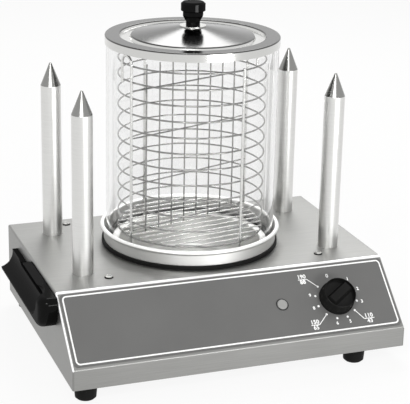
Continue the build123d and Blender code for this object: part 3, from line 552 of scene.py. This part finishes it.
# The divider is a row of uprights with four bars across it, each three rings above the one below
along = Vector((math.cos(basket["dividerTurn"]), math.sin(basket["dividerTurn"]), 0))
beside = Vector((math.sin(basket["dividerTurn"]), -math.cos(basket["dividerTurn"]), 0))
barMiddle = Vector((wellX, wellY, 0)) + beside * basket["barAside"]
barRise = basket["pitch"] * basket["barEvery"]
barHeight = ringLow + basket["pitch"] / 2 + barRise * (basket["bars"] - 1) / 2
uprightRow = {
    "Reach": (dividerBox[1].z - dividerBox[0].z) / 2, "Wire": basket["dividerWire"],
    "Count": basket["dividerWires"], "Middle": (wellX, wellY, (dividerBox[0].z + dividerBox[1].z) / 2),
    "Step": tuple(along * basket["dividerPitch"])}
barRow = {
    "Reach": basket["ringRadius"] + basket["ringWire"], "Wire": basket["dividerWire"],
    "Count": basket["bars"], "Middle": (barMiddle.x, barMiddle.y, barHeight), "Step": (0.0, 0.0, barRise),
    "Turn": (0.0, math.pi / 2, basket["dividerTurn"])}
divider = growPiece("basketDivider", rowTree, "wire", [uprightRow, barRow])
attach(divider, "basket")
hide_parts("basket_divider")

welds = growPiece("basketWelds", weldTree, "weld", [{
    "Radius": basket["beadRadius"], "Bead": basket["bead"], "Levels": basket["rings"],
    "Pitch": basket["pitch"], "Round": basket["uprights"], "Start": (wellX, wellY, ringLow),
    "Turn": (0.0, 0.0, basket["dividerTurn"])}])
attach(welds, "basket")
print("basket made:", len(rings.data.polygons), "ring faces")


def turnedRing(name, profile, centreX, centreY, turns, finish):
    # A closed profile of radius and height, spun round an upright axis
    spun = bmesh.new()
    loops = []
    for turn in range(turns):
        angle = turn / turns * math.tau
        loops.append([spun.verts.new((centreX + r * math.cos(angle), centreY + r * math.sin(angle), z))
                      for r, z in profile])
    for turn in range(turns):
        here, there = loops[turn], loops[(turn + 1) % turns]
        for step in range(len(profile)):
            after = (step + 1) % len(profile)
            spun.faces.new((here[step], there[step], there[after], here[after]))
    bmesh.ops.recalc_face_normals(spun, faces=spun.faces)
    mesh = bpy.data.meshes.new(name)
    spun.to_mesh(mesh)
    spun.free()
    return addPiece(name, mesh, finish)


# Rubber gasket: a flat ring with a rounded lip round the foot of the collar
gasket = {
    "inner": 91 * mm, "wall": 101.8 * mm, "outer": 104.4 * mm, "lip": 4.6 * mm, "round": 1.2 * mm,
    "roundSteps": 4, "turns": 128,
}
gasketFloor, gasketTop = (corner.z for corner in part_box("well_gasket"))
lipTop = gasketFloor + gasket["lip"]
lipRound = []
for step in range(gasket["roundSteps"] + 1):
    angle = step / gasket["roundSteps"] * math.pi / 2
    lipRound.append((gasket["outer"] - gasket["round"] * (1 - math.cos(angle)),
                     lipTop - gasket["round"] * (1 - math.sin(angle))))
gasketProfile = [(gasket["inner"], gasketFloor), (gasket["outer"], gasketFloor)] + lipRound
gasketProfile += [(gasket["wall"], lipTop), (gasket["wall"], gasketTop), (gasket["inner"], gasketTop)]
seal = turnedRing("wellGasket", gasketProfile, wellX, wellY, gasket["turns"], "rubber")
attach(seal, "body")
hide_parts("well_gasket")

# Dark rubber rings under the heads of the four deck screws: dark pieces that stand in for the shade round
# each head
washer = {
    "head": 4 * mm, "inner": 3.6 * mm, "outer": 5.1 * mm, "bevel": 0.3 * mm, "height": 0.7 * mm,
    "turns": 32,
}
shadeRingTop = deckTop + washer["height"]
shadeRingProfile = [
    (washer["inner"], deckTop), (washer["outer"], deckTop), (washer["outer"] - washer["bevel"], shadeRingTop),
    (washer["inner"], shadeRingTop),
]
screwLow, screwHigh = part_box("deck_screws")
for side, screwX in enumerate((screwLow.x + washer["head"], screwHigh.x - washer["head"])):
    for depth, screwY in enumerate((screwLow.y + washer["head"], screwHigh.y - washer["head"])):
        ring = turnedRing("deckScrewShade%d%d" % (side, depth), shadeRingProfile, screwX, screwY, washer["turns"],
                          "rubber")
        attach(ring, "body")

# The panel's own plane, in which its print and its bezel are drawn: x along it, y up it, z out of it
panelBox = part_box("control_panel")
panelMiddle = (panelBox[0] + panelBox[1]) / 2
panelCorners = [Vector(vertex.co) - panelMiddle for vertex in nodes["control_panel"].data.vertices]
panelTop = max(corner.dot(panelOut) for corner in panelCorners)
panelReach = max(corner.dot(panelUp) for corner in panelCorners)
printPlane = Matrix((Vector((1, 0, 0)), panelUp, panelOut)).transposed().to_4x4()
printPlane.translation = panelMiddle + panelOut * panelTop

# Pressed bezel round the lamp's lens, in dark plastic: its darkness stands in for the shade at the lens's
# edge
bezel = {
    "inner": 6.1 * mm, "outer": 7.3 * mm, "height": 0.9 * mm, "shoulder": 0.45 * mm, "roll": 0.4 * mm,
    "turns": 48,
}
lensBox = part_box("pilot_lens")
lensMiddle = printPlane.inverted() @ ((lensBox[0] + lensBox[1]) / 2)
bezelProfile = [
    (bezel["inner"], 0), (bezel["outer"], 0), (bezel["outer"], bezel["shoulder"]),
    (bezel["inner"] + bezel["roll"], bezel["height"]), (bezel["inner"], bezel["height"]),
]
lampBezel = turnedRing("lampBezel", bezelProfile, lensMiddle.x, lensMiddle.y, bezel["turns"], "darkPlastic")
lampBezel.data.transform(printPlane)
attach(lampBezel, "body")

# Screen print on the panel, with plain numbers only. Three of the dots have a leader with one number above
# its underline and one below: where the leader bends and how far the underline runs
printed = {
    "edge": 2.9 * mm, "line": 1.7 * mm, "corner": 5.0 * mm, "height": 0.06 * mm,
    "dialX": 122.5 * mm, "dialY": -1.5 * mm, "dots": 10, "dot": 1.35 * mm, "dotRadius": 24.8 * mm,
    "first": math.radians(43), "step": math.radians(30.2), "digit": 3.8 * mm, "digitRadius": 31 * mm,
    "zero": 4.6 * mm, "zeroX": -2.6 * mm, "zeroY": 29.4 * mm, "leader": 0.9 * mm, "number": 4.9 * mm,
    "numberAside": 3.4 * mm, "bold": 0.2 * mm, "capital": 0.7, "curveSteps": 3,
}
digits = {0: "1", 1: "2", 2: "3", 4: "5", 5: "6", 7: "8", 8: "9"}
leaders = {
    9: {"bend": (94 * mm, 26.9 * mm), "run": -10.2 * mm, "upper": "190", "lower": "88"},
    6: {"bend": (93.6 * mm, -30.4 * mm), "run": -10.4 * mm, "upper": "150", "lower": "65"},
    3: {"bend": (148.8 * mm, -30.3 * mm), "run": 12.5 * mm, "upper": "110", "lower": "43"},
}


def drawnMesh(data, x=0, y=0):
    # The mesh of a curve or of text, lifted on to the panel
    holder = bpy.data.objects.new(data.name, data)
    bpy.context.scene.collection.objects.link(holder)
    mesh = meshOf(holder)
    mesh.transform(Matrix.Translation((x, y, printed["height"] / 2)))
    bpy.data.objects.remove(holder)
    return mesh


def flatMesh(name, *loops):
    # A flat figure given by its outline and holes, as a thin closed solid
    curve = bpy.data.curves.new(name, "CURVE")
    curve.dimensions = "2D"
    curve.fill_mode = "BOTH"
    curve.extrude = printed["height"] / 2
    for loop in loops:
        spline = curve.splines.new("POLY")
        spline.points.add(len(loop) - 1)
        for point, (x, y) in zip(spline.points, loop):
            point.co = (x, y, 0, 1)
        spline.use_cyclic_u = True
    return drawnMesh(curve)


def numberMesh(words, size, x, y):
    text = bpy.data.curves.new("number" + words, "FONT")
    text.body = words
    text.size = size / printed["capital"]
    text.align_x = "CENTER"
    text.align_y = "CENTER"
    text.extrude = printed["height"] / 2
    text.offset = printed["bold"]
    text.resolution_u = printed["curveSteps"]
    return drawnMesh(text, x, y)


def onCircle(centreX, centreY, radius, angle):
    # A point of a circle, by the angle clockwise from its top
    return centreX + radius * math.sin(angle), centreY + radius * math.cos(angle)


def roundedLoop(halfX, halfY, radius, steps=8):
    loop = []
    for corner, (sideX, sideY) in enumerate(((1, 1), (-1, 1), (-1, -1), (1, -1))):
        for step in range(steps + 1):
            angle = (corner + step / steps) * math.pi / 2
            loop.append((sideX * (halfX - radius) + radius * math.cos(angle),
                         sideY * (halfY - radius) + radius * math.sin(angle)))
    return loop


def barLoop(start, end):
    # The outline of a leader's straight stretch
    run = (Vector(end) - Vector(start)).normalized()
    side = Vector((-run.y, run.x)) * printed["leader"] / 2
    return [tuple(Vector(start) + side), tuple(Vector(start) - side), tuple(Vector(end) - side),
            tuple(Vector(end) + side)]


def leaderMeshes(dot, bend, run, upper, lower):
    underEnd = (bend[0] + run, bend[1])
    middle = bend[0] + run / 2
    return [flatMesh("leader", barLoop(dot, bend)), flatMesh("under", barLoop(bend, underEnd)),
            numberMesh(upper, printed["number"], middle, bend[1] + printed["numberAside"]),
            numberMesh(lower, printed["number"], middle, bend[1] - printed["numberAside"])]


dialX, dialY = printed["dialX"], printed["dialY"]
outerX = (panelBox[1].x - panelBox[0].x) / 2 - printed["edge"] + printed["line"] / 2
outerY = panelReach - printed["edge"] + printed["line"] / 2
innerX, innerY = outerX - printed["line"], outerY - printed["line"]
figures = [flatMesh("border", roundedLoop(outerX, outerY, printed["corner"]),
                    roundedLoop(innerX, innerY, printed["corner"] - printed["line"]))]
dotSides = 16
for number in range(printed["dots"]):
    angle = printed["first"] + number * printed["step"]
    dotX, dotY = onCircle(dialX, dialY, printed["dotRadius"], angle)
    figures.append(flatMesh("dot", [onCircle(dotX, dotY, printed["dot"], side / dotSides * math.tau)
                                    for side in range(dotSides)]))
    if number in digits:
        digitX, digitY = onCircle(dialX, dialY, printed["digitRadius"], angle)
        figures.append(numberMesh(digits[number], printed["digit"], digitX, digitY))
    if number in leaders:
        figures += leaderMeshes((dotX, dotY), **leaders[number])
figures.append(numberMesh("0", printed["zero"], dialX + printed["zeroX"], dialY + printed["zeroY"]))
panelPrint = joinMeshes("panelPrint", figures, "ink")
panelPrint.data.transform(printPlane)
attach(panelPrint, "body")
print("panel print made:", len(panelPrint.data.polygons), "faces")


def seenDirectly(tree):
    # 1 for what the camera, a reflection or the glass shows, 0 for the light that falls on the object
    rays = addNode(tree, "ShaderNodeLightPath").outputs
    seen = compute(tree, "MAXIMUM", rays["Is Camera Ray"], rays["Is Glossy Ray"])
    return compute(tree, "MAXIMUM", seen, rays["Is Transmission Ray"])


# White floor: mostly an even white, so that only a light shadow shows on it
white = (1, 1, 1, 1)
stage = {"size": 60.0, "paper": "#F4F4F2", "glow": 1.0, "glowShare": 0.9, "skyLight": 0.42, "skySeen": 1.0}
half = stage["size"] / 2
floorMesh = bpy.data.meshes.new("floor")
floorCorners = [(-half, -half, 0), (half, -half, 0), (half, half, 0), (-half, half, 0)]
floorMesh.from_pydata(floorCorners, [], [(0, 1, 2, 3)])
floor = bpy.data.objects.new("floor", floorMesh)
bpy.context.scene.collection.objects.link(floor)
floorMaterial = bpy.data.materials.new("white_paper")
floorMaterial.use_nodes = True
floorTree = floorMaterial.node_tree
floorTree.nodes.clear()
paper = addNode(floorTree, "ShaderNodeBsdfDiffuse", {"Color": toLinear(stage["paper"])})
glow = addNode(floorTree, "ShaderNodeEmission", {"Color": white, "Strength": stage["glow"]})
share = compute(floorTree, "MULTIPLY", seenDirectly(floorTree), stage["glowShare"])
mixed = addNode(floorTree, "ShaderNodeMixShader", links={0: share, 1: paper.outputs[0], 2: glow.outputs[0]})
addNode(floorTree, "ShaderNodeOutputMaterial", links={"Surface": mixed.outputs[0]})
floorMesh.materials.append(floorMaterial)

# The sky is white to look at and dimmer as a light
world = bpy.data.worlds.new("studio")
bpy.context.scene.world = world
world.use_nodes = True
worldTree = world.node_tree
worldTree.nodes.clear()
skyLevel = spread(worldTree, seenDirectly(worldTree), stage["skyLight"], stage["skySeen"])
sky = addNode(worldTree, "ShaderNodeBackground", {"Color": white}, {"Strength": skyLevel})
addNode(worldTree, "ShaderNodeOutputWorld", links={"Surface": sky.outputs[0]})

lamps = {
    "key": {"at": (-0.62, -1.4, 1.12), "size": (1.0, 0.6), "power": 10},
    "sweep": {"at": (0.6, 1.2, 1.6), "size": (1.0, 1.1), "power": 19},
    "spark": {"at": (-0.8, -1.3, 1.35), "size": (0.12, 0.12), "power": 4.5},
    "fill": {"at": (0.45, -1.5, 0.14), "size": (0.8, 0.26), "power": 9},
}
aim = Vector((0, 0, 0.15))
for name, lamp in lamps.items():
    light = bpy.data.lights.new(name, "AREA")
    light.shape = "RECTANGLE"
    light.size, light.size_y = lamp["size"]
    light.energy = lamp["power"]
    holder = bpy.data.objects.new(name, light)
    holder.location = lamp["at"]
    holder.rotation_euler = (aim - holder.location).to_track_quat("-Z", "Y").to_euler()
    holder.visible_camera = False
    bpy.context.scene.collection.objects.link(holder)

# Camera: where the photograph was taken from, in the model's frame. Angles in radians, lens in millimetres
shot = {
    "at": (-0.53687, -1.48914, 0.69508), "yaw": 0.3563, "pitch": 0.3256, "roll": 0.0207,
    "lens": 126.36, "sensor": 36.0,
}
lens = bpy.data.cameras.new("camera")
lens.sensor_width = shot["sensor"]
lens.sensor_fit = "HORIZONTAL"
lens.lens = shot["lens"]
camera = bpy.data.objects.new("camera", lens)
bpy.context.scene.collection.objects.link(camera)
ahead = Vector((math.sin(shot["yaw"]), math.cos(shot["yaw"]), 0))
level = Vector((math.cos(shot["yaw"]), -math.sin(shot["yaw"]), 0))
look = math.cos(shot["pitch"]) * ahead - math.sin(shot["pitch"]) * Vector((0, 0, 1))
right = math.cos(shot["roll"]) * level + math.sin(shot["roll"]) * level.cross(look)
cameraAxes = Matrix((right, right.cross(look), -look)).transposed()
camera.matrix_world = Matrix.Translation(shot["at"]) @ cameraAxes.to_4x4()
bpy.context.scene.camera = camera
bpy.context.scene.view_settings.view_transform = "Standard"
print("stage, lights and camera set")
